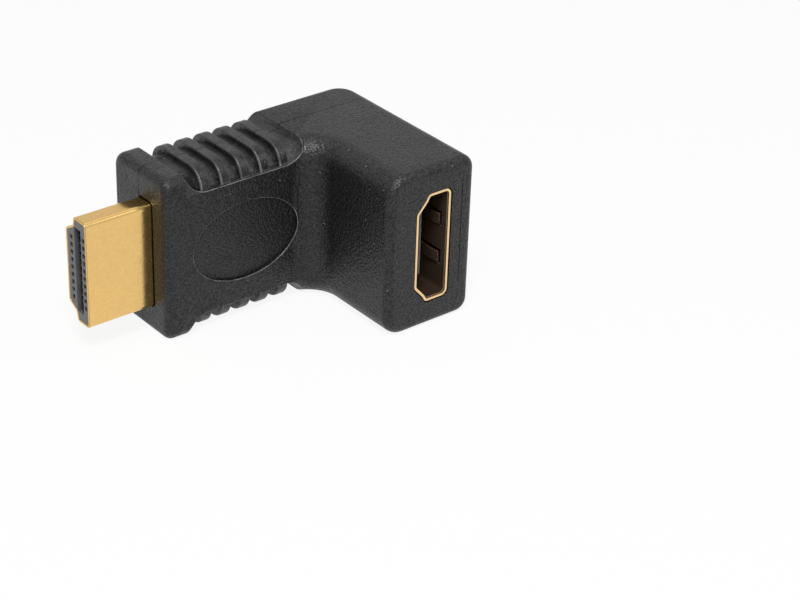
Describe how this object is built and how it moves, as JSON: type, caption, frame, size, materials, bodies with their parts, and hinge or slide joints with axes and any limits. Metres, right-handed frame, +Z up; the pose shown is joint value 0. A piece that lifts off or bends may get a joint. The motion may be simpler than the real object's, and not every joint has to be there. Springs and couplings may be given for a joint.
{
  "type": "right angle digital video adapter",
  "caption": "Right angle digital video adapter: a moulded elbow with ribbed finger grips, a gold-plated plug on one arm and a matching socket on the other.",
  "frame": {"origin": "middle of the overall box on the underside, the L-shaped side that it rests on", "axes": "+X from the plug's tip along the plug arm towards the elbow, +Z up across the width of both connectors, and the socket opens towards -Y"},
  "size_m": [0.0436, 0.026, 0.0214],
  "materials": {
    "black_moulding": "fine moulded grain, soft sheen",
    "gold_plate": "gold-plated, polished",
    "grey_plastic": "satin",
    "dark_plastic": "satin",
    "board_laminate": "satin",
    "inner_plastic": "matte",
    "contact_metal": "bright copper alloy"
  },
  "bodies": {
    "root": {"overmould": "black_moulding", "plug_shell": "gold_plate", "plug_insulator": "grey_plastic", "socket_shell": "gold_plate", "socket_insulator": "dark_plastic", "circuit_board": "board_laminate", "inner_mould": "inner_plastic", "plug_contact_01": "contact_metal", "plug_contact_02": "contact_metal", "plug_contact_03": "contact_metal", "plug_contact_04": "contact_metal", "plug_contact_05": "contact_metal", "plug_contact_06": "contact_metal", "plug_contact_07": "contact_metal", "plug_contact_08": "contact_metal", "plug_contact_09": "contact_metal", "plug_contact_10": "contact_metal", "plug_contact_11": "contact_metal", "plug_contact_12": "contact_metal", "plug_contact_13": "contact_metal", "plug_contact_14": "contact_metal", "plug_contact_15": "contact_metal", "plug_contact_16": "contact_metal", "plug_contact_17": "contact_metal", "plug_contact_18": "contact_metal", "plug_contact_19": "contact_metal", "socket_contact_01": "contact_metal", "socket_contact_02": "contact_metal", "socket_contact_03": "contact_metal", "socket_contact_04": "contact_metal", "socket_contact_05": "contact_metal", "socket_contact_06": "contact_metal", "socket_contact_07": "contact_metal", "socket_contact_08": "contact_metal", "socket_contact_09": "contact_metal", "socket_contact_10": "contact_metal", "socket_contact_11": "contact_metal", "socket_contact_12": "contact_metal", "socket_contact_13": "contact_metal", "socket_contact_14": "contact_metal", "socket_contact_15": "contact_metal", "socket_contact_16": "contact_metal", "socket_contact_17": "contact_metal", "socket_contact_18": "contact_metal", "socket_contact_19": "contact_metal"}
  },
  "joints": []
}
